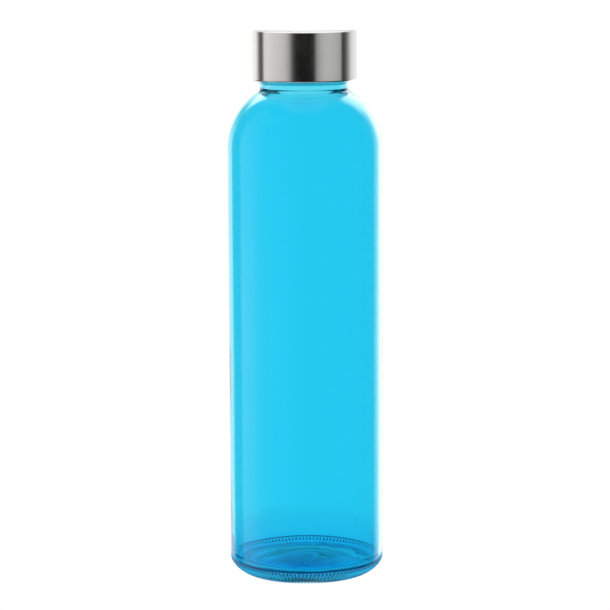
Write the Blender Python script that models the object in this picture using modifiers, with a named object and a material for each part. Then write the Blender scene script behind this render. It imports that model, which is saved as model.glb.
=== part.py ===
"""Glass water bottle with a screw cap: a Blender 4.5 script, in metres, +Z up.

The bottle stands on z = 0 with its axis on Z. It has four pieces: the glass bottle, and a cap
made of a drawn steel shell, a moulded thread insert that the shell's rolled hem holds, and a
silicone seal ring that the insert presses on the bottle's rim. Bottle and insert carry the same
right-handed helix, so the cap rises by one lead for each turn.
"""

from math import atan2, cos, degrees, hypot, pi, radians, sin, tan

import bmesh
import bpy

MM = 0.001
SEGMENTS = 48  # facets round every turned piece
FILLET_STEPS = 3
AXIS_MERGE = 1e-5

# Bottle, outside
BODY_RADIUS = 31.0 * MM
HEEL_WIDTH = 6.3 * MM  # from the body wall in to the bearing ring
HEEL_HEIGHT = 5.7 * MM
HEEL_POWER = 1.38  # 1 is a quarter ellipse, 2 a straight chamfer
BEARING_WIDTH = 3.2 * MM
PUSH_UP = 2.6 * MM  # height of the hollow under the base
SHOULDER_Z = 172.1 * MM  # where the straight wall ends
SHOULDER_AXIS_RADIUS = 5.2 * MM  # where the shoulder's ellipses have their centre
SHOULDER_RISE = 26.9 * MM
SHOULDER_END = 58.5  # degrees up the ellipse where the neck's fillet starts
NECK_RADIUS = 17.9 * MM
NECK_TOP_Z = 198.6 * MM
THREAD_ROOT_RADIUS = 16.9 * MM  # of the bottle's finish, from above the neck to the rim
RIM_Z = 215.0 * MM
RIM_ROUND = 1.0 * MM

# Bottle, inside
WALL = 2.0 * MM
BORE_RADIUS = 14.5 * MM
INNER_SHOULDER_END = 62.0
FLOOR_Z = 5.0 * MM  # at the floor's corner
FLOOR_CROWN = 1.2 * MM  # how far the floor rises to its centre
FLOOR_CORNER = 4.0 * MM

# Knurls on the outer half of the bearing ring, which keep a wet bottle from slipping
KNURLS = 120
GROOVE_WIDTH = 0.6 * MM
GROOVE_DEPTH = 0.5 * MM
GROOVE_INNER_RADIUS = 23.1 * MM
GROOVE_LENGTH = 3.3 * MM

# Thread beads
LEAD = 4.2 * MM
THREAD_TURNS = 1.5
POINTS_A_TURN = 24
RUN_OUT_POINTS = 3  # points over which a bead's end tapers
RUN_OUT_SHARE = 0.35  # a bead's size at its very end
BEAD_RESOLUTION = 2  # 8 sides
BOTTLE_BEAD_Z = 203.9 * MM
BOTTLE_BEAD_RADIUS = 1.25 * MM
BOTTLE_HELIX_RADIUS = 16.95 * MM
CAP_BEAD_Z = BOTTLE_BEAD_Z - LEAD / 2
CAP_BEAD_RADIUS = 0.95 * MM
CAP_HELIX_RADIUS = 18.35 * MM

# Cap shell
CAP_RADIUS = 21.15 * MM
CAP_TOP_Z = 220.0 * MM
SHEET = 0.4 * MM
TOP_ROUND = 1.2 * MM
WALL_BOTTOM_Z = 200.3 * MM  # where the wall turns in to the hem
HEM_ROUND = 0.8 * MM
HEM_TURN = 56.0  # degrees that the hem turns in from the wall
HEM_INNER_RADIUS = 18.7 * MM

# Thread insert
GAP = 0.3 * MM
INSERT_TOP_Z = CAP_TOP_Z - SHEET - GAP
INSERT_PLATE = 1.7 * MM
INSERT_RADIUS = 20.25 * MM
INSERT_ROUND = 0.8 * MM
INSERT_ROOT_RADIUS = 18.6 * MM
INSERT_BOTTOM_Z = 200.1 * MM
LIP_RADIUS = 17.6 * MM  # the lip that keeps the seal ring in the cap
LIP_TOP_Z = RIM_Z - 0.1 * MM
LIP_HEIGHT = 0.5 * MM
RIBS = 24
RIB_WIDTH = 0.8 * MM
RIB_PROUD = 0.2 * MM
RIB_ROOT = 0.2 * MM
RIB_BOTTOM_Z = 201.0 * MM
RIB_TOP_Z = 217.5 * MM

# Seal ring
SEAL_OUTER_RADIUS = 18.0 * MM
SEAL_INNER_RADIUS = 14.4 * MM
SEAL_BOTTOM_Z = RIM_Z + GAP
SEAL_TOP_Z = INSERT_TOP_Z - INSERT_PLATE - GAP
SEAL_ROUND = 0.4 * MM

GLASS_BLUE = (0.13, 0.76, 0.95, 1.0)
STEEL_GREY = (0.62, 0.61, 0.60, 1.0)
INSERT_WHITE = (0.78, 0.80, 0.81, 1.0)
SILICONE_WHITE = (0.86, 0.87, 0.88, 1.0)


def clear_scene():
    for obj in list(bpy.data.objects):
        bpy.data.objects.remove(obj)


def new_collection(name):
    made = bpy.data.collections.new(name)
    bpy.context.scene.collection.children.link(made)
    return made


def new_material(name, colour, roughness, metallic=0.0, transmission=0.0):
    made = bpy.data.materials.new(name)
    made.use_nodes = True
    made.diffuse_color = colour
    shader = made.node_tree.nodes["Principled BSDF"]
    shader.inputs["Base Color"].default_value = colour
    shader.inputs["Roughness"].default_value = roughness
    shader.inputs["Metallic"].default_value = metallic
    shader.inputs["Transmission Weight"].default_value = transmission
    return made


def arc(centre, width, height, start, end, steps, power=1.0):
    """Points on an ellipse, from one angle in degrees to another. A power above 1 flattens it."""
    points = []
    for step in range(steps + 1):
        angle = radians(start + (end - start) * step / steps)
        across = abs(cos(angle)) ** power * (1 if cos(angle) >= 0 else -1)
        up = abs(sin(angle)) ** power * (1 if sin(angle) >= 0 else -1)
        points.append((centre[0] + width * across, centre[1] + height * up))
    return points


def shoulder(wall_radius, rise, end, neck_radius, steps):
    """A shoulder's points from the neck down to the wall. Its fillet is tangent to both."""
    width = wall_radius - SHOULDER_AXIS_RADIUS
    curve = arc((SHOULDER_AXIS_RADIUS, SHOULDER_Z), width, rise, end, 0, steps)
    out, up = cos(radians(end)) / width, sin(radians(end)) / rise
    slope = hypot(out, up)
    size = (curve[0][0] - neck_radius) / (1 - out / slope)
    centre = (neck_radius + size, curve[0][1] + size * up / slope)
    fillet = arc(centre, size, size, 180, 180 + degrees(atan2(up, out)), FILLET_STEPS)
    return fillet[:-1] + curve


def turned(name, profile, collection):
    """A solid of revolution about Z. Its profile runs down its outer side."""
    mesh = bpy.data.meshes.new(name)
    edges = [(index, index + 1) for index in range(len(profile) - 1)]
    mesh.from_pydata([(radius, 0, height) for radius, height in profile], edges, [])
    obj = bpy.data.objects.new(name, mesh)
    collection.objects.link(obj)
    screw = obj.modifiers.new("Turn", "SCREW")
    screw.axis = "Z"
    screw.steps = SEGMENTS
    screw.render_steps = SEGMENTS
    screw.use_smooth_shade = True
    screw.use_merge_vertices = True
    screw.merge_threshold = AXIS_MERGE
    return obj


def as_tool(obj):
    """Marks an object that only cuts or joins another."""
    obj.hide_render = True
    obj.display_type = "WIRE"
    return obj


def combine(obj, tool, operation):
    boolean = obj.modifiers.new(tool.name, "BOOLEAN")
    boolean.operation = operation
    boolean.solver = "EXACT"
    boolean.object = tool


def ring_of_boxes(name, count, inner_radius, size, middle_z, collection):
    """Boxes of size (radial, tangential, vertical) at equal angles about Z, in one mesh."""
    build = bmesh.new()
    for index in range(count):
        corners = bmesh.ops.create_cube(build, size=1.0)["verts"]
        angle = 2 * pi * index / count
        for corner in corners:
            radial = inner_radius + (corner.co.x + 0.5) * size[0]
            tangential = corner.co.y * size[1]
            corner.co = (
                radial * cos(angle) - tangential * sin(angle),
                radial * sin(angle) + tangential * cos(angle),
                middle_z + corner.co.z * size[2],
            )
    mesh = bpy.data.meshes.new(name)
    build.to_mesh(mesh)
    build.free()
    obj = bpy.data.objects.new(name, mesh)
    collection.objects.link(obj)
    return as_tool(obj)


def thread_bead(name, helix_radius, bead_radius, start_z, collection):
    """A round bead along the thread's helix, with tapered ends, as a closed mesh."""
    curve = bpy.data.curves.new(name, "CURVE")
    curve.dimensions = "3D"
    curve.bevel_depth = bead_radius
    curve.bevel_resolution = BEAD_RESOLUTION
    curve.use_fill_caps = True
    spline = curve.splines.new("POLY")
    last = round(THREAD_TURNS * POINTS_A_TURN)
    spline.points.add(last)
    for index, point in enumerate(spline.points):
        turn = index / POINTS_A_TURN
        angle = 2 * pi * turn
        x, y = helix_radius * cos(angle), helix_radius * sin(angle)
        point.co = (x, y, start_z + LEAD * turn, 1)
        from_end = min(index, last - index, RUN_OUT_POINTS) / RUN_OUT_POINTS
        point.radius = RUN_OUT_SHARE + (1 - RUN_OUT_SHARE) * from_end
    wire = bpy.data.objects.new(name + "_path", curve)
    collection.objects.link(wire)
    evaluated = wire.evaluated_get(bpy.context.evaluated_depsgraph_get())
    mesh = bpy.data.meshes.new_from_object(evaluated)
    bpy.data.objects.remove(wire)
    build = bmesh.new()
    build.from_mesh(mesh)
    bmesh.ops.remove_doubles(build, verts=build.verts, dist=AXIS_MERGE / 10)
    bmesh.ops.recalc_face_normals(build, faces=build.faces)
    build.to_mesh(mesh)
    build.free()
    obj = bpy.data.objects.new(name, mesh)
    collection.objects.link(obj)
    return as_tool(obj)


def bottle_profile():
    """From the floor's centre up the inside, over the rim, down the outside, to the push-up."""
    inner_radius = BODY_RADIUS - WALL
    corner_radius = inner_radius - FLOOR_CORNER
    floor = []
    for share in (0, 0.5, 0.8):
        rise = FLOOR_CROWN * (1 - share**2)
        floor.append((corner_radius * share, FLOOR_Z + rise))
    corner_centre = (corner_radius, FLOOR_Z + FLOOR_CORNER)
    corner = arc(corner_centre, FLOOR_CORNER, FLOOR_CORNER, -90, 0, 4)
    inner_rise = SHOULDER_RISE - WALL
    inside = shoulder(inner_radius, inner_rise, INNER_SHOULDER_END, BORE_RADIUS, 7)
    rim_z = RIM_Z - RIM_ROUND
    rim_inside = arc((BORE_RADIUS + RIM_ROUND, rim_z), RIM_ROUND, RIM_ROUND, 180, 90, 3)
    rim_centre = (THREAD_ROOT_RADIUS - RIM_ROUND, rim_z)
    rim_outside = arc(rim_centre, RIM_ROUND, RIM_ROUND, 90, 0, 3)
    step = NECK_RADIUS - THREAD_ROOT_RADIUS
    neck = [(THREAD_ROOT_RADIUS, NECK_TOP_Z + step), (NECK_RADIUS, NECK_TOP_Z)]
    outside = shoulder(BODY_RADIUS, SHOULDER_RISE, SHOULDER_END, NECK_RADIUS, 8)
    heel_centre = (BODY_RADIUS - HEEL_WIDTH, HEEL_HEIGHT)
    heel = arc(heel_centre, HEEL_WIDTH, HEEL_HEIGHT, 0, -90, 6, HEEL_POWER)
    bearing_inner = BODY_RADIUS - HEEL_WIDTH - BEARING_WIDTH
    under = []
    for share in (1, 0.8, 0.5, 0):
        under.append((bearing_inner * share, PUSH_UP * (1 - share**3)))
    rim = rim_inside + rim_outside
    return floor + corner + inside[::-1] + rim + neck + outside + heel + under


def make_glass_bottle(parts, tools):
    bottle = turned("glass_bottle", bottle_profile(), parts)
    groove = (GROOVE_LENGTH, GROOVE_WIDTH, 2 * GROOVE_DEPTH)
    grooves = ring_of_boxes("grooves", KNURLS, GROOVE_INNER_RADIUS, groove, 0, tools)
    bead = thread_bead(
        "bottle_thread", BOTTLE_HELIX_RADIUS, BOTTLE_BEAD_RADIUS, BOTTLE_BEAD_Z, tools
    )
    combine(bottle, grooves, "DIFFERENCE")
    combine(bottle, bead, "UNION")
    bottle.data.materials.append(new_material("blue_glass", GLASS_BLUE, 0.02, transmission=1))
    return bottle


def make_cap_shell(parts):
    inner_round = TOP_ROUND - SHEET
    top_centre = (CAP_RADIUS - TOP_ROUND, CAP_TOP_Z - TOP_ROUND)
    hem_centre = (CAP_RADIUS - HEM_ROUND, WALL_BOTTOM_Z)
    inner_hem = HEM_ROUND - SHEET
    outside = arc(top_centre, TOP_ROUND, TOP_ROUND, 90, 0, 4)
    outside += arc(hem_centre, HEM_ROUND, HEM_ROUND, 0, -HEM_TURN, 4)
    turn = radians(HEM_TURN)
    run = outside[-1][0] - HEM_INNER_RADIUS
    edge = (HEM_INNER_RADIUS, outside[-1][1] - run / tan(turn))
    inner_edge = (edge[0] - SHEET * cos(turn), edge[1] + SHEET * sin(turn))
    inside = arc(hem_centre, inner_hem, inner_hem, -HEM_TURN, 0, 3)
    inside += arc(top_centre, inner_round, inner_round, 0, 90, 3)
    profile = [(0, CAP_TOP_Z)] + outside + [edge, inner_edge] + inside
    shell = turned("cap_shell", profile + [(0, CAP_TOP_Z - SHEET)], parts)
    shell.data.materials.append(new_material("steel", STEEL_GREY, 0.28, metallic=1))
    return shell


def make_cap_insert(parts, tools):
    plate_z = INSERT_TOP_Z - INSERT_PLATE
    pocket = SEAL_OUTER_RADIUS + GAP
    lip_z = LIP_TOP_Z - LIP_HEIGHT
    round_centre = (INSERT_RADIUS - INSERT_ROUND, INSERT_TOP_Z - INSERT_ROUND)
    profile = [(0, INSERT_TOP_Z)]
    profile += arc(round_centre, INSERT_ROUND, INSERT_ROUND, 90, 0, 3)
    profile += [(INSERT_RADIUS, INSERT_BOTTOM_Z), (INSERT_ROOT_RADIUS, INSERT_BOTTOM_Z)]
    profile += [(INSERT_ROOT_RADIUS, lip_z - (INSERT_ROOT_RADIUS - LIP_RADIUS))]
    profile += [(LIP_RADIUS, lip_z), (LIP_RADIUS, LIP_TOP_Z), (pocket, LIP_TOP_Z)]
    profile += [(pocket, plate_z), (0, plate_z)]
    insert = turned("cap_insert", profile, parts)
    rib = (RIB_ROOT + RIB_PROUD, RIB_WIDTH, RIB_TOP_Z - RIB_BOTTOM_Z)
    rib_middle = (RIB_TOP_Z + RIB_BOTTOM_Z) / 2
    ribs = ring_of_boxes("ribs", RIBS, INSERT_RADIUS - RIB_ROOT, rib, rib_middle, tools)
    bead = thread_bead("cap_thread", CAP_HELIX_RADIUS, CAP_BEAD_RADIUS, CAP_BEAD_Z, tools)
    combine(insert, ribs, "UNION")
    combine(insert, bead, "UNION")
    insert.data.materials.append(new_material("insert_plastic", INSERT_WHITE, 0.45))
    return insert


def make_seal_ring(parts):
    size = SEAL_ROUND
    corners = (
        (SEAL_OUTER_RADIUS - size, SEAL_TOP_Z - size, 90),
        (SEAL_OUTER_RADIUS - size, SEAL_BOTTOM_Z + size, 0),
        (SEAL_INNER_RADIUS + size, SEAL_BOTTOM_Z + size, -90),
        (SEAL_INNER_RADIUS + size, SEAL_TOP_Z - size, -180),
    )
    profile = []
    for radius, height, start in corners:
        profile += arc((radius, height), size, size, start, start - 90, 2)
    seal = turned("seal_ring", profile + profile[:1], parts)
    seal.data.materials.append(new_material("silicone", SILICONE_WHITE, 0.5))
    return seal


def hang_on_axis(pieces, collection):
    """Parents the cap's pieces to an empty on the axis that the cap turns and rises on."""
    axis = bpy.data.objects.new("cap_axis", None)
    axis.empty_display_type = "SINGLE_ARROW"
    axis.empty_display_size = BODY_RADIUS
    axis.location = (0, 0, WALL_BOTTOM_Z)
    collection.objects.link(axis)
    bpy.context.view_layer.update()
    for piece in pieces:
        piece.parent = axis
        piece.matrix_parent_inverse = axis.matrix_world.inverted()


def main():
    clear_scene()
    parts = new_collection("glass_water_bottle")
    tools = new_collection("cutters")
    make_glass_bottle(parts, tools)
    cap = [make_cap_shell(parts), make_cap_insert(parts, tools), make_seal_ring(parts)]
    hang_on_axis(cap, parts)


main()
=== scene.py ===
"""Looks of the glass water bottle: a Blender 4.5 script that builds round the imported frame.

Every piece of the bottle is made again here as a fine mesh in the frame's sizes: blue glass with
its thread and knurled base, a spun steel cap shell, a moulded thread insert and a seal ring.
"""

from math import atan2, cos, degrees, hypot, pi, radians, sin, sqrt

import bmesh
import bpy
from mathutils import Matrix, Vector, noise


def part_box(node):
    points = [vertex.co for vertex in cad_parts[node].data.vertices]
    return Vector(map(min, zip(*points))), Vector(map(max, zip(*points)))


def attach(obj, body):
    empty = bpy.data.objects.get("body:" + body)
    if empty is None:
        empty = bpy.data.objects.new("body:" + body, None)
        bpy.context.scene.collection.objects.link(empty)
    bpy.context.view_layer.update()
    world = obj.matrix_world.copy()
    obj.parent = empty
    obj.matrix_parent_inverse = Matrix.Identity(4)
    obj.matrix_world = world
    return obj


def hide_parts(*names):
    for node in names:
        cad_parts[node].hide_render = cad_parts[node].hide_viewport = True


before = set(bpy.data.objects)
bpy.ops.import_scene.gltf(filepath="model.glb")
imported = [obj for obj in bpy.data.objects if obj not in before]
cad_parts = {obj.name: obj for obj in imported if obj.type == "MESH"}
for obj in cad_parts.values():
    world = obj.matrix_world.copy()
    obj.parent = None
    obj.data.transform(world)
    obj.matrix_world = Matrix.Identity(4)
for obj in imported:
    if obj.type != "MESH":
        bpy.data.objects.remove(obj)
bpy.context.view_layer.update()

MM = 0.001
TAU = 2 * pi

# Sizes that the frame gives
BODY_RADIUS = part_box("glass_bottle")[1].x
RIM_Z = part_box("glass_bottle")[1].z
CAP_TOP_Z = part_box("cap_shell")[1].z
CAP_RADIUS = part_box("cap_shell")[1].x
INSERT_BOTTOM_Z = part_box("cap_insert")[0].z
INSERT_TOP_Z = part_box("cap_insert")[1].z
RIB_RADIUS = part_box("cap_insert")[1].x
SEAL_BOTTOM_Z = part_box("seal_ring")[0].z
SEAL_TOP_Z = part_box("seal_ring")[1].z
SEAL_OUTER_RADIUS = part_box("seal_ring")[1].x

# Bottle, outside
HEEL_WIDTH = 6.3 * MM
HEEL_HEIGHT = 5.7 * MM
HEEL_POWER = 1.38
BEARING_WIDTH = 3.2 * MM
PUSH_UP = 2.6 * MM
SHOULDER_Z = 172.1 * MM
SHOULDER_AXIS_RADIUS = 5.2 * MM
SHOULDER_RISE = 26.9 * MM
SHOULDER_END = 58.5
NECK_RADIUS = 17.9 * MM
NECK_TOP_Z = 198.6 * MM
THREAD_ROOT_RADIUS = 16.9 * MM
RIM_ROUND = 1.0 * MM

# Bottle, inside
WALL = 2.0 * MM
BORE_RADIUS = 14.5 * MM
INNER_SHOULDER_END = 62.0
FLOOR_Z = 5.0 * MM
FLOOR_CROWN = 1.2 * MM
FLOOR_CORNER = 4.0 * MM

# Knurls and threads
KNURLS = 120
KNURL_DEPTH = 0.5 * MM
KNURL_HEEL_DEPTH = 0.4 * MM  # where the knurls run on up the heel
KNURL_INNER_RADIUS = 23.1 * MM
KNURL_TOP_Z = 5.4 * MM
LEAD = 4.2 * MM
THREAD_TURNS = 1.5
RUN_OUT = radians(45)
BOTTLE_BEAD_Z = 203.9 * MM
BOTTLE_BEAD_RADIUS = 1.25 * MM
BOTTLE_BEAD_HEIGHT = 1.3 * MM
CAP_BEAD_Z = BOTTLE_BEAD_Z - LEAD / 2
CAP_BEAD_RADIUS = 0.95 * MM
CAP_BEAD_HEIGHT = 1.2 * MM

# Cap
SHEET = 0.4 * MM
TOP_ROUND = 1.2 * MM
WALL_BOTTOM_Z = 200.3 * MM
HEM_ROUND = 0.8 * MM
HEM_TURN = 56.0
HEM_INNER_RADIUS = 18.7 * MM
INSERT_PLATE = 1.7 * MM
INSERT_ROUND = 0.8 * MM
INSERT_ROOT_RADIUS = 18.6 * MM
LIP_RADIUS = 17.6 * MM
LIP_TOP_Z = RIM_Z - 0.1 * MM
LIP_HEIGHT = 0.5 * MM
RIBS = 24
RIB_PROUD = 0.2 * MM
RIB_BOTTOM_Z = 201.0 * MM
RIB_TOP_Z = 217.5 * MM
SEAL_INNER_RADIUS = 14.4 * MM
SEAL_ROUND = 0.4 * MM
GAP = 0.3 * MM

# How fine the meshes are: vertices round the axis
GLASS_STEPS = 240
KNURL_STEPS = 720
SHELL_STEPS = 256
INSERT_STEPS = 288
SEAL_STEPS = 192

# Unevenness of the moulded glass inside
FLOOR_LUMPS = 0.35 * MM
WALL_RIPPLES = 0.12 * MM


# ---------------------------------------------------------------------------- outlines


def arc(centre, width, height, start, end, steps, power=1.0):
    """Points on an ellipse, from one angle in degrees to another. A power above 1 flattens it."""
    points = []
    for step in range(steps + 1):
        angle = radians(start + (end - start) * step / steps)
        across = abs(cos(angle)) ** power * (1 if cos(angle) >= 0 else -1)
        up = abs(sin(angle)) ** power * (1 if sin(angle) >= 0 else -1)
        points.append((centre[0] + width * across, centre[1] + height * up))
    return points


def line(start, end, spacing):
    """Points from start to end, both included, no further apart than spacing."""
    steps = max(1, round(hypot(end[0] - start[0], end[1] - start[1]) / spacing + 0.49))
    return [
        (
            start[0] + (end[0] - start[0]) * step / steps,
            start[1] + (end[1] - start[1]) * step / steps,
        )
        for step in range(steps + 1)
    ]


def joined(*stretches):
    """One outline from stretches, without the points where two meet."""
    outline = []
    for stretch in stretches:
        for point in stretch:
            if not outline or hypot(point[0] - outline[-1][0], point[1] - outline[-1][1]) > 1e-7:
                outline.append(point)
    return outline


def shoulder(wall_radius, rise, end, neck_radius, steps):
    """A shoulder's points from the neck down to the wall. Its fillet is tangent to both."""
    width = wall_radius - SHOULDER_AXIS_RADIUS
    curve = arc((SHOULDER_AXIS_RADIUS, SHOULDER_Z), width, rise, end, 0, steps)
    out, up = cos(radians(end)) / width, sin(radians(end)) / rise
    slope = hypot(out, up)
    size = (curve[0][0] - neck_radius) / (1 - out / slope)
    centre = (neck_radius + size, curve[0][1] + size * up / slope)
    fillet = arc(centre, size, size, 180, 180 + degrees(atan2(up, out)), max(4, steps // 4))
    return fillet[:-1] + curve


# ---------------------------------------------------------------------------- meshes


def turned(name, outline, counts, place=None):
    """A closed, smooth mesh of revolution about Z.

    outline runs down the piece's outer side, and counts gives each of its points a number of
    vertices round the axis. place moves a vertex: it takes the outline's index, the radius,
    height and angle, and gives a new radius and height. A point on the axis is one vertex."""
    vertices, rings = [], []
    closed = outline[0] == outline[-1]
    points = outline[:-1] if closed else outline
    for index, (radius, height) in enumerate(points):
        count = 1 if radius < 1e-9 else counts[index]
        ring = []
        for step in range(count):
            angle = TAU * step / count
            r, z = place(index, radius, height, angle) if place else (radius, height)
            ring.append(len(vertices))
            vertices.append((r * cos(angle), r * sin(angle), z))
        rings.append(ring)
    faces = []
    pairs = list(zip(rings, rings[1:]))
    if closed:
        pairs.append((rings[-1], rings[0]))
    for upper, lower in pairs:
        faces += bridge(upper, lower)
    mesh = bpy.data.meshes.new(name)
    mesh.from_pydata(vertices, [], faces)
    mesh.shade_smooth()
    mesh.update()
    obj = bpy.data.objects.new(name, mesh)
    bpy.context.scene.collection.objects.link(obj)
    return obj


def bridge(upper, lower):
    """Faces between two rings, where one may have a whole number of times the other's vertices."""
    faces = []
    most = max(len(upper), len(lower))
    fewest = min(len(upper), len(lower))
    if fewest == 1:
        for step in range(most):
            following = (step + 1) % most
            if len(upper) == 1:
                faces.append((upper[0], lower[step], lower[following]))
            else:
                faces.append((upper[following], upper[step], lower[0]))
        return faces
    share_upper, share_lower = len(upper) // fewest, len(lower) // fewest
    for step in range(fewest):
        top = [upper[(step * share_upper + k) % len(upper)] for k in range(share_upper + 1)]
        low = [lower[(step * share_lower + k) % len(lower)] for k in range(share_lower + 1)]
        faces.append(tuple(top[::-1] + low))
    return faces


def outward_normals(outline):
    """Each point's normal, out of the solid, for an outline that runs down its outer side."""
    normals = []
    for index in range(len(outline)):
        before = outline[max(index - 1, 0)]
        after = outline[min(index + 1, len(outline) - 1)]
        along = Vector((after[0] - before[0], after[1] - before[1])).normalized()
        normals.append((-along.y, along.x))
    return normals


def bead_height(angle, height, start_z, radius):
    """How much of its full height a thread's bead has at a place, from 0 to 1."""
    share = 0.0
    for turn in range(-1, 3):
        along = angle + TAU * turn
        if not 0 <= along <= TAU * THREAD_TURNS:
            continue
        ends = min(along, TAU * THREAD_TURNS - along, RUN_OUT) / RUN_OUT
        offset = (height - start_z - LEAD * along / TAU) / radius
        if abs(offset) < 1:
            share = max(share, sqrt(1 - offset * offset) * smooth(ends))
    return share


def smooth(value):
    """A soft step from 0 to 1."""
    value = min(max(value, 0.0), 1.0)
    return value * value * (3 - 2 * value)


def wave(angle, height, around, pitch, seed):
    """Smooth noise over a turned wall, from -1 to 1."""
    place = Vector((around * cos(angle) + seed, around * sin(angle), height / pitch))
    return noise.noise(place)


def make_glass():
    """The bottle, as one outline from the floor's middle over the rim to the base's middle."""
    inner = BODY_RADIUS - WALL
    corner_radius = inner - FLOOR_CORNER
    floor = []
    for step in range(19):
        share = step / 18
        floor.append((corner_radius * share, FLOOR_Z + FLOOR_CROWN * (1 - share**2)))
    corner_centre = (corner_radius, FLOOR_Z + FLOOR_CORNER)
    corner = arc(corner_centre, FLOOR_CORNER, FLOOR_CORNER, -90, 0, 12)
    inside = shoulder(inner, SHOULDER_RISE - WALL, INNER_SHOULDER_END, BORE_RADIUS, 32)[::-1]
    rim_z = RIM_Z - RIM_ROUND
    rim_in = arc((BORE_RADIUS + RIM_ROUND, rim_z), RIM_ROUND, RIM_ROUND, 180, 90, 6)
    rim_out = arc((THREAD_ROOT_RADIUS - RIM_ROUND, rim_z), RIM_ROUND, RIM_ROUND, 90, 0, 6)
    ledge = NECK_RADIUS - THREAD_ROOT_RADIUS
    neck_top = arc((THREAD_ROOT_RADIUS, NECK_TOP_Z), ledge, ledge, 90, 0, 6)
    outside = shoulder(BODY_RADIUS, SHOULDER_RISE, SHOULDER_END, NECK_RADIUS, 36)
    heel_centre = (BODY_RADIUS - HEEL_WIDTH, HEEL_HEIGHT)
    heel = arc(heel_centre, HEEL_WIDTH, HEEL_HEIGHT, 0, -90, 22, HEEL_POWER)
    ring_inner = BODY_RADIUS - HEEL_WIDTH - BEARING_WIDTH
    under = []
    for step in range(17):
        share = 1 - step / 16
        under.append((ring_inner * share, PUSH_UP * (1 - share**3)))
    outline = joined(
        floor,
        corner,
        line(corner[-1], inside[0], 8 * MM),
        inside,
        line(inside[-1], rim_in[0], 2 * MM),
        rim_in,
        rim_out,
        line(rim_out[-1], neck_top[0], 0.3 * MM),
        neck_top,
        line(neck_top[-1], outside[0], 0.5 * MM),
        outside,
        line(outside[-1], heel[0], 8 * MM),
        heel,
        line(heel[-1], under[0], 0.4 * MM),
        under,
    )
    top = max(range(len(outline)), key=lambda index: outline[index][1])
    normals = outward_normals(outline)
    counts = []
    for index, (radius, height) in enumerate(outline):
        knurled = index > top and height < KNURL_TOP_Z and radius > KNURL_INNER_RADIUS - 1 * MM
        counts.append(KNURL_STEPS if knurled else GLASS_STEPS)

    def place(index, radius, height, angle):
        if index < top:
            if radius < inner - 0.01 * MM and height < FLOOR_Z + FLOOR_CORNER:
                lump = wave(angle, height, radius / (9 * MM), 5 * MM, 3.0)
                return radius, height + FLOOR_LUMPS * lump * smooth(radius / corner_radius * 3)
            thin = wave(angle, height, 1.1, 45 * MM, 11.0)
            return radius + WALL_RIPPLES * thin * smooth((RIM_Z - height) / (20 * MM)), height
        if height > NECK_TOP_Z + ledge:
            bead = bead_height(angle, height, BOTTLE_BEAD_Z, BOTTLE_BEAD_RADIUS)
            return radius + BOTTLE_BEAD_HEIGHT * bead, height
        if counts[index] == KNURL_STEPS:
            groove = smooth(0.4 + 0.8 * cos(KNURLS * angle))
            start = smooth((radius - KNURL_INNER_RADIUS) / (0.5 * MM) + 1)
            end = smooth((KNURL_TOP_Z - height) / (0.5 * MM))
            shallow = smooth((height - 0.3 * MM) / (1 * MM))
            depth = KNURL_DEPTH + (KNURL_HEEL_DEPTH - KNURL_DEPTH) * shallow
            cut = depth * groove * start * end
            across, up = normals[index]
            return radius - cut * across, height - cut * up
        return radius, height

    return turned("blue_glass_bottle", outline, counts, place)


def make_shell():
    """The cap's sheet, as one outline from the top over the hem and back up its inside."""
    top_centre = (CAP_RADIUS - TOP_ROUND, CAP_TOP_Z - TOP_ROUND)
    hem_centre = (CAP_RADIUS - HEM_ROUND, WALL_BOTTOM_Z)
    inner_round = TOP_ROUND - SHEET
    inner_hem = HEM_ROUND - SHEET
    top = arc(top_centre, TOP_ROUND, TOP_ROUND, 90, 0, 12)
    hem = arc(hem_centre, HEM_ROUND, HEM_ROUND, 0, -HEM_TURN, 12)
    back = arc(hem_centre, inner_hem, inner_hem, -HEM_TURN, 0, 8)
    turn = radians(HEM_TURN)
    outward = Vector((cos(turn), -sin(turn)))
    down = Vector((-sin(turn), -cos(turn)))
    length = (hem[-1][0] - HEM_INNER_RADIUS) / sin(turn) - SHEET / 2
    lip = Vector(hem[-1]) + down * length
    middle = lip - outward * SHEET / 2
    edge = arc(middle, SHEET / 2, SHEET / 2, -HEM_TURN, -HEM_TURN - 180, 8)
    inner_top = arc(top_centre, inner_round, inner_round, 0, 90, 6)
    outline = joined(
        line((0, CAP_TOP_Z), top[0], 1.2 * MM),
        top,
        line(top[-1], hem[0], 1.2 * MM),
        hem,
        line(hem[-1], edge[0], 0.5 * MM),
        edge,
        line(edge[-1], back[0], 0.5 * MM),
        back,
        line(back[-1], inner_top[0], 2.5 * MM),
        inner_top,
        line(inner_top[-1], (0, CAP_TOP_Z - SHEET), 2.5 * MM),
    )
    return turned("steel_cap_shell", outline, [SHELL_STEPS] * len(outline))


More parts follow.
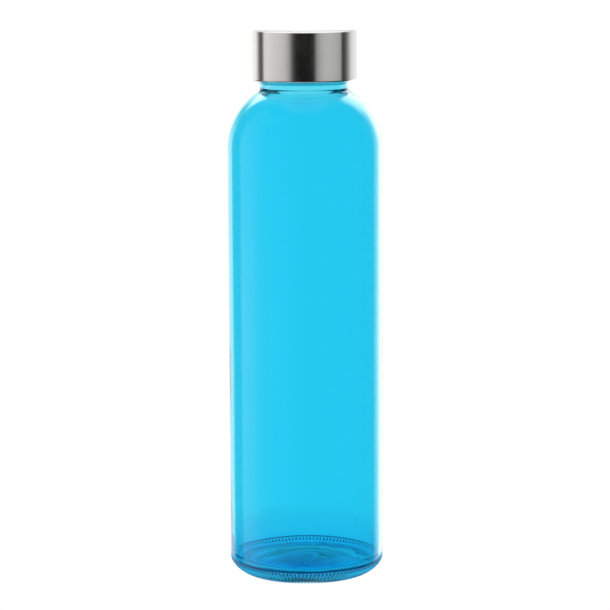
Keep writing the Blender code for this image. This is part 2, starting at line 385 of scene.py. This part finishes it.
def make_insert():
    """The insert, with its ribs outside and its thread and the seal's pocket inside."""
    radius = RIB_RADIUS - RIB_PROUD
    plate_z = INSERT_TOP_Z - INSERT_PLATE
    pocket = SEAL_OUTER_RADIUS + GAP
    lip_z = LIP_TOP_Z - LIP_HEIGHT
    lip_start = (INSERT_ROOT_RADIUS, lip_z - (INSERT_ROOT_RADIUS - LIP_RADIUS))
    round_centre = (radius - INSERT_ROUND, INSERT_TOP_Z - INSERT_ROUND)
    bottom_round = 0.2 * MM
    rounding = (bottom_round, bottom_round)
    top = arc(round_centre, INSERT_ROUND, INSERT_ROUND, 90, 0, 6)
    foot_z = INSERT_BOTTOM_Z + bottom_round
    foot_out = arc((radius - bottom_round, foot_z), *rounding, 0, -90, 3)
    foot_in = arc((INSERT_ROOT_RADIUS + bottom_round, foot_z), *rounding, -90, -180, 3)
    outline = joined(
        line((0, INSERT_TOP_Z), top[0], 3 * MM),
        top,
        line(top[-1], foot_out[0], 0.8 * MM),
        foot_out,
        foot_in,
        line(foot_in[-1], lip_start, 0.3 * MM),
        line(lip_start, (LIP_RADIUS, lip_z), 0.3 * MM),
        line((LIP_RADIUS, lip_z), (LIP_RADIUS, LIP_TOP_Z), 0.25 * MM),
        line((LIP_RADIUS, LIP_TOP_Z), (pocket, LIP_TOP_Z), 0.35 * MM),
        line((pocket, LIP_TOP_Z), (pocket, plate_z), 1 * MM),
        line((pocket, plate_z), (0, plate_z), 3 * MM),
    )
    foot = min(range(len(outline)), key=lambda index: outline[index][1])

    def place(index, r, z, angle):
        if index < foot and RIB_BOTTOM_Z < z < RIB_TOP_Z and r > radius - 0.01 * MM:
            rib = smooth((cos(RIBS * angle) - 0.72) / 0.2)
            ends = smooth(min(z - RIB_BOTTOM_Z, RIB_TOP_Z - z) / (1 * MM))
            return r + RIB_PROUD * rib * ends, z
        if index > foot and abs(r - INSERT_ROOT_RADIUS) < 0.01 * MM:
            bead = bead_height(angle, z, CAP_BEAD_Z, CAP_BEAD_RADIUS)
            return r - CAP_BEAD_HEIGHT * bead, z
        return r, z

    return turned("threaded_cap_insert", outline, [INSERT_STEPS] * len(outline), place)


def make_seal():
    """The seal ring, square in section with rounded corners."""
    size = SEAL_ROUND
    corners = (
        (SEAL_OUTER_RADIUS - size, SEAL_TOP_Z - size, 90),
        (SEAL_OUTER_RADIUS - size, SEAL_BOTTOM_Z + size, 0),
        (SEAL_INNER_RADIUS + size, SEAL_BOTTOM_Z + size, -90),
        (SEAL_INNER_RADIUS + size, SEAL_TOP_Z - size, -180),
    )
    stretches = [arc((r, z), size, size, start, start - 90, 6) for r, z, start in corners]
    outline = joined(*stretches, stretches[0][:1])
    return turned("silicone_seal_ring", outline, [SEAL_STEPS] * len(outline))


# ---------------------------------------------------------------------------- materials


class Nodes:
    """A material's node tree, with one line for each node or link."""

    def __init__(self, name):
        self.material = bpy.data.materials.new(name)
        self.material.use_nodes = True
        self.tree = self.material.node_tree
        self.shader = self.tree.nodes["Principled BSDF"]
        self.output = self.tree.nodes["Material Output"]

    def add(self, kind, values=(), **settings):
        node = self.tree.nodes.new(kind)
        for setting, value in settings.items():
            setattr(node, setting, value)
        for socket, value in dict(values).items():
            node.inputs[socket].default_value = value
        return node

    def link(self, out_socket, in_socket):
        self.tree.links.new(out_socket, in_socket)

    def math(self, operation, first, second=0.0):
        node = self.add("ShaderNodeMath", operation=operation)
        for socket, value in zip(node.inputs, (first, second)):
            if isinstance(value, (int, float)):
                socket.default_value = value
            else:
                self.link(value, socket)
        return node.outputs[0]

    def noise(self, vector, scale, detail=2.0, roughness=0.5):
        values = {"Scale": scale, "Detail": detail, "Roughness": roughness}
        node = self.add("ShaderNodeTexNoise", values)
        self.link(vector, node.inputs["Vector"])
        return node.outputs["Fac"]

    def spread(self, value, low, high, new_low, new_high):
        """value, with low to high stretched to new_low to new_high."""
        limits = {1: low, 2: high, 3: new_low, 4: new_high}
        node = self.add("ShaderNodeMapRange", limits)
        self.link(value, node.inputs[0])
        return node.outputs[0]

    def band(self, value, low, high, soft):
        """1 where value lies from low to high, falling to 0 over soft inside each end."""
        start = self.spread(value, low, low + soft, 0.0, 1.0)
        return self.math("MULTIPLY", start, self.spread(value, high - soft, high, 1.0, 0.0))

    def mix(self, factor, first, second):
        node = self.add("ShaderNodeMix", data_type="RGBA")
        self.link(factor, node.inputs[0])
        for socket, value in ((node.inputs[6], first), (node.inputs[7], second)):
            if isinstance(value, tuple):
                socket.default_value = value
            else:
                self.link(value, socket)
        return node.outputs[2]

    def bump(self, height, distance, strength):
        node = self.add("ShaderNodeBump", {"Distance": distance, "Strength": strength})
        self.link(height, node.inputs["Height"])
        self.link(node.outputs[0], self.shader.inputs["Normal"])

    def position(self):
        return self.add("ShaderNodeTexCoord").outputs["Object"]

    def set(self, **values):
        for socket, value in values.items():
            self.shader.inputs[socket.replace("_", " ")].default_value = value


# Tints fitted to the photo. The glass takes GLASS_TINT at its surface and the rest of its colour
# through its depth.
GLASS_TINT = (0.146, 0.792, 0.954, 1.0)
NECK_TINT = (0.42, 0.89, 0.98, 1.0)
# Painted shade: the colour the glass is darkened to in the knurls' grooves, at the foot and along a
# line at the top of the heel
GLASS_PAINTED_SHADE = (0.0, 0.03, 0.10, 1.0)
GLASS_PASSES = (0.0, 0.879, 0.976, 1.0)
GLASS_DEPTH = 72.5
NECK_TINT_Z = (190.0 * MM, 196.5 * MM)  # where the neck's tint takes over
HEEL_EDGE = (29.3 * MM, 29.8 * MM)  # radii over which the heel's outer side starts
RING_EDGE = (22.6 * MM, 23.4 * MM)  # radii over which the bearing ring's outer half starts
# heights of a line of painted shade at the top of the heel
HEEL_LINE_SHADE_Z = (5.4 * MM, 6.6 * MM)
# heights of the row of knurls whose grooves are darkened with painted shade
KNURL_ROW_Z = (3.8 * MM, 5.4 * MM)
FOOT_Z = (1.6 * MM, 2.8 * MM)  # heights over which the foot's painted shade ends
FOOT_PAINTED_SHADE = 0.5  # how dark the foot's painted shade is between its grooves


def glass_material():
    """Blue glass, coloured through its depth, with the faint waves and marks of a moulded wall.

    To match the photo it is drawn darker, with painted shade, in the knurls' grooves, at the foot
    and along a line at the top of the heel, and lighter in the neck."""
    nodes = Nodes("blue_glass")
    nodes.set(IOR=1.5, Transmission_Weight=1.0)
    place = nodes.position()
    split = nodes.add("ShaderNodeSeparateXYZ")
    nodes.link(place, split.inputs[0])
    x, y, z = split.outputs
    up_neck = nodes.spread(z, *NECK_TINT_Z, 0.0, 1.0)
    tint = nodes.mix(up_neck, GLASS_TINT, NECK_TINT)
    across = nodes.math("ADD", nodes.math("MULTIPLY", x, x), nodes.math("MULTIPLY", y, y))
    radius = nodes.math("SQRT", across)
    outer = nodes.spread(radius, *HEEL_EDGE, 0.0, 1.0)
    ring = nodes.spread(radius, *RING_EDGE, 0.0, 1.0)
    turn = nodes.math("MULTIPLY", nodes.math("ARCTAN2", y, x), KNURLS)
    # Painted shade: darker glass in the knurls' grooves, at the foot and along a line at the top of
    # the heel
    groove = nodes.spread(nodes.math("COSINE", turn), -0.2, 0.3, 0.0, 1.0)
    row = nodes.band(z, *KNURL_ROW_Z, 0.3 * MM)
    heel_line_shade = nodes.band(z, *HEEL_LINE_SHADE_Z, 0.4 * MM)
    foot = nodes.math("MULTIPLY", nodes.spread(z, *FOOT_Z, 1.0, 0.0), ring)
    knurled = nodes.math("MAXIMUM", nodes.math("MULTIPLY", row, outer), foot)
    under = nodes.math("MULTIPLY", foot, FOOT_PAINTED_SHADE)
    lines = nodes.math("MAXIMUM", nodes.math("MULTIPLY", heel_line_shade, outer), under)
    painted_shade = nodes.math("MAXIMUM", nodes.math("MULTIPLY", groove, knurled), lines)
    nodes.link(nodes.mix(painted_shade, tint, GLASS_PAINTED_SHADE), nodes.shader.inputs["Base Color"])
    marks = nodes.noise(place, 55.0, 5.0, 0.6)
    nodes.link(nodes.spread(marks, 0.5, 0.8, 0.0, 0.05), nodes.shader.inputs["Roughness"])
    nodes.bump(nodes.noise(place, 90.0, 1.0), 0.05 * MM, 0.4)
    depth = nodes.add("ShaderNodeVolumeAbsorption", {"Color": GLASS_PASSES, "Density": GLASS_DEPTH})
    nodes.link(depth.outputs[0], nodes.output.inputs["Volume"])
    return nodes.material


def steel_material():
    """Stainless steel with fine spun lines: round the wall, and in rings on the top."""
    nodes = Nodes("spun_steel")
    nodes.set(Metallic=1.0, Anisotropic=0.6, Anisotropic_Rotation=0.25)
    split = nodes.add("ShaderNodeSeparateXYZ")
    nodes.link(nodes.position(), split.inputs[0])
    x, y, z = split.outputs
    flat = nodes.add("ShaderNodeCombineXYZ")
    nodes.link(x, flat.inputs[0])
    nodes.link(y, flat.inputs[1])
    length = nodes.add("ShaderNodeVectorMath", operation="LENGTH")
    nodes.link(flat.outputs[0], length.inputs[0])
    across = nodes.math("ADD", length.outputs["Value"], z)
    round_unit = nodes.add("ShaderNodeVectorMath", operation="NORMALIZE")
    nodes.link(flat.outputs[0], round_unit.inputs[0])
    unit = nodes.add("ShaderNodeSeparateXYZ")
    nodes.link(round_unit.outputs[0], unit.inputs[0])

    def lines(fineness, length_share):
        grain = nodes.add("ShaderNodeCombineXYZ")
        nodes.link(nodes.math("MULTIPLY", across, fineness), grain.inputs[0])
        nodes.link(nodes.math("MULTIPLY", unit.outputs[0], length_share), grain.inputs[1])
        nodes.link(nodes.math("MULTIPLY", unit.outputs[1], length_share), grain.inputs[2])
        return grain.outputs[0]

    fine = nodes.noise(lines(9000.0, 3.0), 1.0, 3.0, 0.6)
    broad = nodes.noise(lines(1400.0, 1.5), 1.0, 2.0)
    blotch = nodes.noise(nodes.position(), 120.0, 3.0)
    shade = nodes.mix(broad, (0.645, 0.635, 0.625, 1), (0.695, 0.685, 0.675, 1))
    nodes.link(shade, nodes.shader.inputs["Base Color"])
    rough = nodes.math(
        "ADD", nodes.spread(fine, 0.3, 0.7, 0.11, 0.16), nodes.spread(blotch, 0.3, 0.7, 0, 0.03)
    )
    nodes.link(rough, nodes.shader.inputs["Roughness"])
    nodes.bump(fine, 0.004 * MM, 0.5)
    tangent = nodes.add("ShaderNodeTangent", direction_type="RADIAL", axis="Z")
    nodes.link(tangent.outputs[0], nodes.shader.inputs["Tangent"])
    return nodes.material


def plastic_material():
    """Satin moulded polypropylene, a little see-through at its surface."""
    nodes = Nodes("moulded_plastic")
    nodes.set(IOR=1.49, Subsurface_Weight=0.2, Subsurface_Scale=0.8 * MM)
    place = nodes.position()
    flow = nodes.noise(place, 160.0, 3.0)
    tone = nodes.mix(flow, (0.74, 0.76, 0.77, 1), (0.84, 0.85, 0.86, 1))
    nodes.link(tone, nodes.shader.inputs["Base Color"])
    grain = nodes.noise(place, 4500.0, 2.0)
    nodes.link(nodes.spread(flow, 0.3, 0.7, 0.38, 0.5), nodes.shader.inputs["Roughness"])
    nodes.bump(grain, 0.01 * MM, 0.5)
    return nodes.material


def silicone_material():
    """Milky silicone rubber, matt, with a dusty bloom."""
    nodes = Nodes("milky_silicone")
    nodes.set(IOR=1.41, Subsurface_Weight=0.5, Subsurface_Scale=1.5 * MM)
    place = nodes.position()
    bloom = nodes.noise(place, 300.0, 4.0, 0.6)
    tone = nodes.mix(bloom, (0.80, 0.82, 0.84, 1), (0.90, 0.91, 0.92, 1))
    nodes.link(tone, nodes.shader.inputs["Base Color"])
    nodes.link(nodes.spread(bloom, 0.3, 0.7, 0.45, 0.62), nodes.shader.inputs["Roughness"])
    nodes.bump(nodes.noise(place, 2500.0, 2.0), 0.008 * MM, 0.5)
    return nodes.material


# ---------------------------------------------------------------------------- studio


def plain_emitter(name, colour, strength):
    nodes = Nodes(name)
    glow = nodes.add("ShaderNodeEmission", {"Color": (*colour, 1), "Strength": strength})
    nodes.link(glow.outputs[0], nodes.output.inputs["Surface"])
    return nodes.material


def make_floor():
    """A lit white table."""
    bpy.ops.mesh.primitive_plane_add(size=8, location=(0, 0, -0.02 * MM))
    floor = bpy.context.object
    floor.name = "lit_table"
    floor.data.materials.append(plain_emitter("table_light", (1, 1, 1), 1.0))
    floor.visible_glossy = False
    floor.visible_transmission = False


# How bright the soft walls round the bottle are, by azimuth in degrees: 0 at -Y, 90 at +X. The
# stops were fitted to the bands that the photo's studio leaves on the cap and the glass.
LOW_WALL = (
    (-180, 1.10), (-138, 1.10), (-133, 0.02), (-111, 0.02), (-106, 0.88), (-83, 0.80),
    (-75, 0.50), (-60, 0.22), (-40, 0.12), (-20, 0.05), (0, 0.0), (100, 0.0),
    (118, 0.05), (125, 1.0), (135, 1.5), (143, 3.0), (152, 3.0), (160, 1.2), (180, 1.10),
)
CAP_WALL = (
    (-180, 1.25), (-128, 1.20), (-111, 0.13), (-101, 0.14), (-95.5, 0.94), (-86, 0.99),
    (-71, 0.90), (-56, 0.84), (-41, 0.70), (-32, 0.45), (-26, 0.12), (-19, 0.02),
    (-10, 0.005), (11, 0.005), (20, 0.03), (26, 0.36), (34, 0.56), (45, 0.66),
    (57, 0.65), (70, 0.60), (83, 0.48), (87, 0.05), (96, 0.085), (103, 0.25),
    (110, 0.54), (118, 0.92), (127, 1.05), (153, 1.15), (180, 1.25),
)
EDGE_WALL = (
    (-180, 1.0), (-158, 1.0), (-150, 0.02), (-113, 0.02), (-108, 0.5), (-83, 0.4),
    (-60, 0.1), (-40, 0.03), (0, 0.0), (100, 0.0), (120, 0.1), (132, 1.2), (142, 3.0),
    (158, 3.0), (168, 1.0), (180, 1.0),
)
HAIR_WALL = (
    (-180, 1.2), (-164, 1.5), (-158, 4.0), (-141, 4.0), (-134, 0.1), (-111, 0.02),
    (-104, 0.3), (-80, 0.25), (-60, 0.08), (-40, 0.03), (0, 0.0), (100, 0.0), (120, 0.1),
    (132, 3.0), (158, 4.0), (166, 1.5), (180, 1.2),
)
TOP_WALL = ((-180, 0.6), (-140, 0.2), (-120, 0.02), (120, 0.02), (140, 0.2), (180, 0.6))
PLAIN_WALL = ((-180, 1.0), (180, 1.0))
OVER_CAP = ((-180, 1.05), (-125, 1.05), (-90, 1.45), (90, 1.45), (125, 1.05), (180, 1.05))
BRIGHTEST = 4.0


def dimmed(stops):
    """A wall's stops with its front left side turned down."""
    return [(degree, bright * (0.7 if -112 < degree < 0 else 1)) for degree, bright in stops]


# Each wall's tiers from the foot up: the heights that each takes over between, and its stops
BOTTLE_TIERS = (
    (-0.35, -0.15, dimmed(LOW_WALL)),
    (-0.12, 0.04, LOW_WALL),
    (0.06, 0.13, dimmed(LOW_WALL)),
    (0.17, 0.28, EDGE_WALL),
    (0.33, 0.42, HAIR_WALL),
    (0.58, 0.68, TOP_WALL),
)
CAP_TIERS = (
    (-0.35, -0.15, dimmed(LOW_WALL)),
    (0.12, 0.15, CAP_WALL),
    (0.32, 0.36, OVER_CAP),
)
WALL_HEIGHTS = (-0.4, 1.0)
WALL_STEPS = 120
BOTTLE_WALL_DISTANCE = 0.4
CAP_WALL_DISTANCE = 0.38  # inside the bottle's wall, so that wall doesn't hide it from the cap


def azimuth_ramp(nodes, turn, stops):
    """A colour ramp over a whole turn, from stops of azimuth and brightness."""
    ramp = nodes.add("ShaderNodeValToRGB")
    nodes.link(turn, ramp.inputs[0])
    elements = ramp.color_ramp.elements
    while len(elements) > 1:
        elements.remove(elements[-1])
    for index, (degree, bright) in enumerate(stops):
        place = (degree + 180) / 360
        element = elements[0] if index == 0 else elements.new(place)
        element.position = place
        tint = (1, 1, 1)
        if abs(degree) > 12:
            tint = (1, 0.985, 0.975) if degree < 0 else (0.985, 1, 0.99)
        element.color = [bright / BRIGHTEST * part for part in tint] + [1]
    return ramp.outputs[0]


def make_shine_wall(name, distance, tiers, lit, see_through):
    """A soft wall and ceiling round the bottle that only show in the shine of the lit pieces.

    tiers holds, from the foot up, the heights that each takes over between and its brightness by
    azimuth. Light from behind a wall that is see_through comes through it."""
    vertices, faces = [], []
    low, high = WALL_HEIGHTS
    for step in range(WALL_STEPS):
        angle = TAU * step / WALL_STEPS
        x, y = distance * cos(angle), distance * sin(angle)
        vertices += [(x, y, low), (x, y, high)]
        after = (step + 1) % WALL_STEPS
        faces.append((2 * step, 2 * after, 2 * after + 1, 2 * step + 1))
    faces.append([2 * step + 1 for step in range(WALL_STEPS)])
    mesh = bpy.data.meshes.new(name)
    mesh.from_pydata(vertices, [], faces)
    obj = bpy.data.objects.new(name, mesh)
    bpy.context.scene.collection.objects.link(obj)
    nodes = Nodes(name)
    split = nodes.add("ShaderNodeSeparateXYZ")
    nodes.link(nodes.position(), split.inputs[0])
    x, y, z = split.outputs
    azimuth = nodes.math("ARCTAN2", x, nodes.math("MULTIPLY", y, -1.0))
    turn = nodes.math("ADD", nodes.math("MULTIPLY", azimuth, 1 / TAU), 0.5)
    shade = azimuth_ramp(nodes, turn, PLAIN_WALL)
    for start, end, stops in tiers:
        over = nodes.spread(z, start, end, 0.0, 1.0)
        shade = nodes.mix(over, shade, azimuth_ramp(nodes, turn, stops))
    glow = nodes.add("ShaderNodeEmission", {"Strength": BRIGHTEST})
    nodes.link(shade, glow.inputs["Color"])
    surface = glow.outputs[0]
    if see_through:
        both = nodes.add("ShaderNodeAddShader")
        nodes.link(surface, both.inputs[0])
        nodes.link(nodes.add("ShaderNodeBsdfTransparent").outputs[0], both.inputs[1])
        surface = both.outputs[0]
    nodes.link(surface, nodes.output.inputs["Surface"])
    mesh.materials.append(nodes.material)
    obj.visible_camera = False
    obj.visible_transmission = False
    obj.visible_diffuse = False
    obj.visible_shadow = False
    receivers = bpy.data.collections.new(name + "_lights")
    for piece in lit:
        receivers.objects.link(piece)
    obj.light_linking.receiver_collection = receivers


# Colour of the table in the bottle's own blue shade, by distance in millimetres. It stands in for
# the light that reaches the table through the bottle, and was fitted to the photo.
SHADE = (
    (0, (0.0, 0.0, 0.22)), (8, (0.0, 0.0, 0.25)), (14, (0.0, 0.12, 0.46)),
    (20, (0.03, 0.36, 0.72)), (27, (0.12, 0.60, 0.92)), (35, (0.30, 0.74, 0.96)),
    (50, (0.50, 0.82, 0.96)), (70, (0.72, 0.89, 0.97)), (90, (0.86, 0.93, 0.98)),
    (110, (1.0, 1.0, 1.0)),
)
SHADE_RADIUS = 110 * MM  # of the disc seen through the glass
CONTACT_RADIUS = 45 * MM  # of the disc seen in its shine
SHADE_OFFSET = 4 * MM  # the light falls from the front, so the shade lies a little behind


def make_table_shade(name, radius):
    """A disc of the blue shade on the table under and round the bottle."""
    build = bmesh.new()
    bmesh.ops.create_circle(build, cap_ends=True, segments=96, radius=radius)
    mesh = bpy.data.meshes.new(name)
    build.to_mesh(mesh)
    build.free()
    obj = bpy.data.objects.new(name, mesh)
    bpy.context.scene.collection.objects.link(obj)
    obj.location = (0, SHADE_OFFSET, -0.03 * MM)
    nodes = Nodes(name)
    place = nodes.position()
    length = nodes.add("ShaderNodeVectorMath", operation="LENGTH")
    nodes.link(place, length.inputs[0])
    share = nodes.math("MULTIPLY", length.outputs["Value"], 1 / SHADE_RADIUS)
    blotch = nodes.spread(nodes.noise(place, 70.0, 2.0), 0.3, 0.7, -0.035, 0.035)
    ramp = nodes.add("ShaderNodeValToRGB")
    nodes.link(nodes.math("ADD", share, blotch), ramp.inputs[0])
    elements = ramp.color_ramp.elements
    elements.remove(elements[-1])
    for index, (position, colour) in enumerate(SHADE):
        element = elements[0] if index == 0 else elements.new(position * MM / SHADE_RADIUS)
        element.position = position * MM / SHADE_RADIUS
        element.color = (*colour, 1)
    glow = nodes.add("ShaderNodeEmission", {"Strength": 1.0})
    nodes.link(ramp.outputs[0], glow.inputs["Color"])
    nodes.link(glow.outputs[0], nodes.output.inputs["Surface"])
    mesh.materials.append(nodes.material)
    obj.visible_camera = False
    obj.visible_diffuse = False
    obj.visible_shadow = False
    return obj


def make_world():
    """A white room, a little brighter on its left."""
    world = bpy.data.worlds.new("white_room")
    bpy.context.scene.world = world
    world.use_nodes = True
    tree = world.node_tree
    place = tree.nodes.new("ShaderNodeTexCoord")
    split = tree.nodes.new("ShaderNodeSeparateXYZ")
    tree.links.new(place.outputs["Generated"], split.inputs[0])
    spread = tree.nodes.new("ShaderNodeMapRange")
    spread.interpolation_type = "SMOOTHSTEP"
    tree.links.new(split.outputs[0], spread.inputs[0])
    for socket, value in {1: -0.022, 2: 0.0, 3: 1.03, 4: 1.0}.items():
        spread.inputs[socket].default_value = value
    background = tree.nodes["Background"]
    background.inputs["Color"].default_value = (1, 1, 1, 1)
    tree.links.new(spread.outputs[0], background.inputs["Strength"])


def make_studio(bottle, cap):
    """The table, the room, and one wall of light for the bottle's shine and one for the cap's."""
    make_floor()
    make_world()
    make_table_shade("table_shade", SHADE_RADIUS).visible_glossy = False
    make_table_shade("contact_shade", CONTACT_RADIUS).visible_transmission = False
    make_shine_wall("bottle_wall", BOTTLE_WALL_DISTANCE, BOTTLE_TIERS, bottle, False)
    make_shine_wall("cap_wall", CAP_WALL_DISTANCE, CAP_TIERS, cap, True)


CAMERA_LENS = 147.7
CAMERA_SENSOR = 36
CAMERA_EYE = (-0.26 * MM, -1.0, 0.255)
CAMERA_AIM = (-0.26 * MM, 0, 0.10905)
CAMERA_ROLL = -0.27  # degrees
GLASS_BOUNCES = 32  # light in the thick heel and neck turns back many times before it leaves


def make_camera():
    data = bpy.data.cameras.new("camera")
    data.lens = CAMERA_LENS
    data.sensor_width = CAMERA_SENSOR
    camera = bpy.data.objects.new("camera", data)
    bpy.context.scene.collection.objects.link(camera)
    eye, aim = Vector(CAMERA_EYE), Vector(CAMERA_AIM)
    turn = (aim - eye).to_track_quat("-Z", "Y").to_matrix().to_4x4()
    roll = Matrix.Rotation(radians(CAMERA_ROLL), 4, "Z")
    camera.matrix_world = Matrix.Translation(eye) @ turn @ roll
    bpy.context.scene.camera = camera


def stand_for(obj, material, body, node):
    """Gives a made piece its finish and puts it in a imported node's place."""
    obj.data.materials.append(material)
    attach(obj, body)
    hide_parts(node)


def main():
    make_camera()
    glass, shell, insert, seal = make_glass(), make_shell(), make_insert(), make_seal()
    stand_for(glass, glass_material(), "bottle", "glass_bottle")
    stand_for(shell, steel_material(), "cap", "cap_shell")
    stand_for(insert, plastic_material(), "cap", "cap_insert")
    stand_for(seal, silicone_material(), "seal", "seal_ring")
    make_studio([glass], [shell, insert, seal])
    bpy.context.scene.view_settings.view_transform = "Standard"
    paths = bpy.context.scene.cycles
    paths.max_bounces = GLASS_BOUNCES
    paths.transmission_bounces = GLASS_BOUNCES
    paths.glossy_bounces = GLASS_BOUNCES


main()
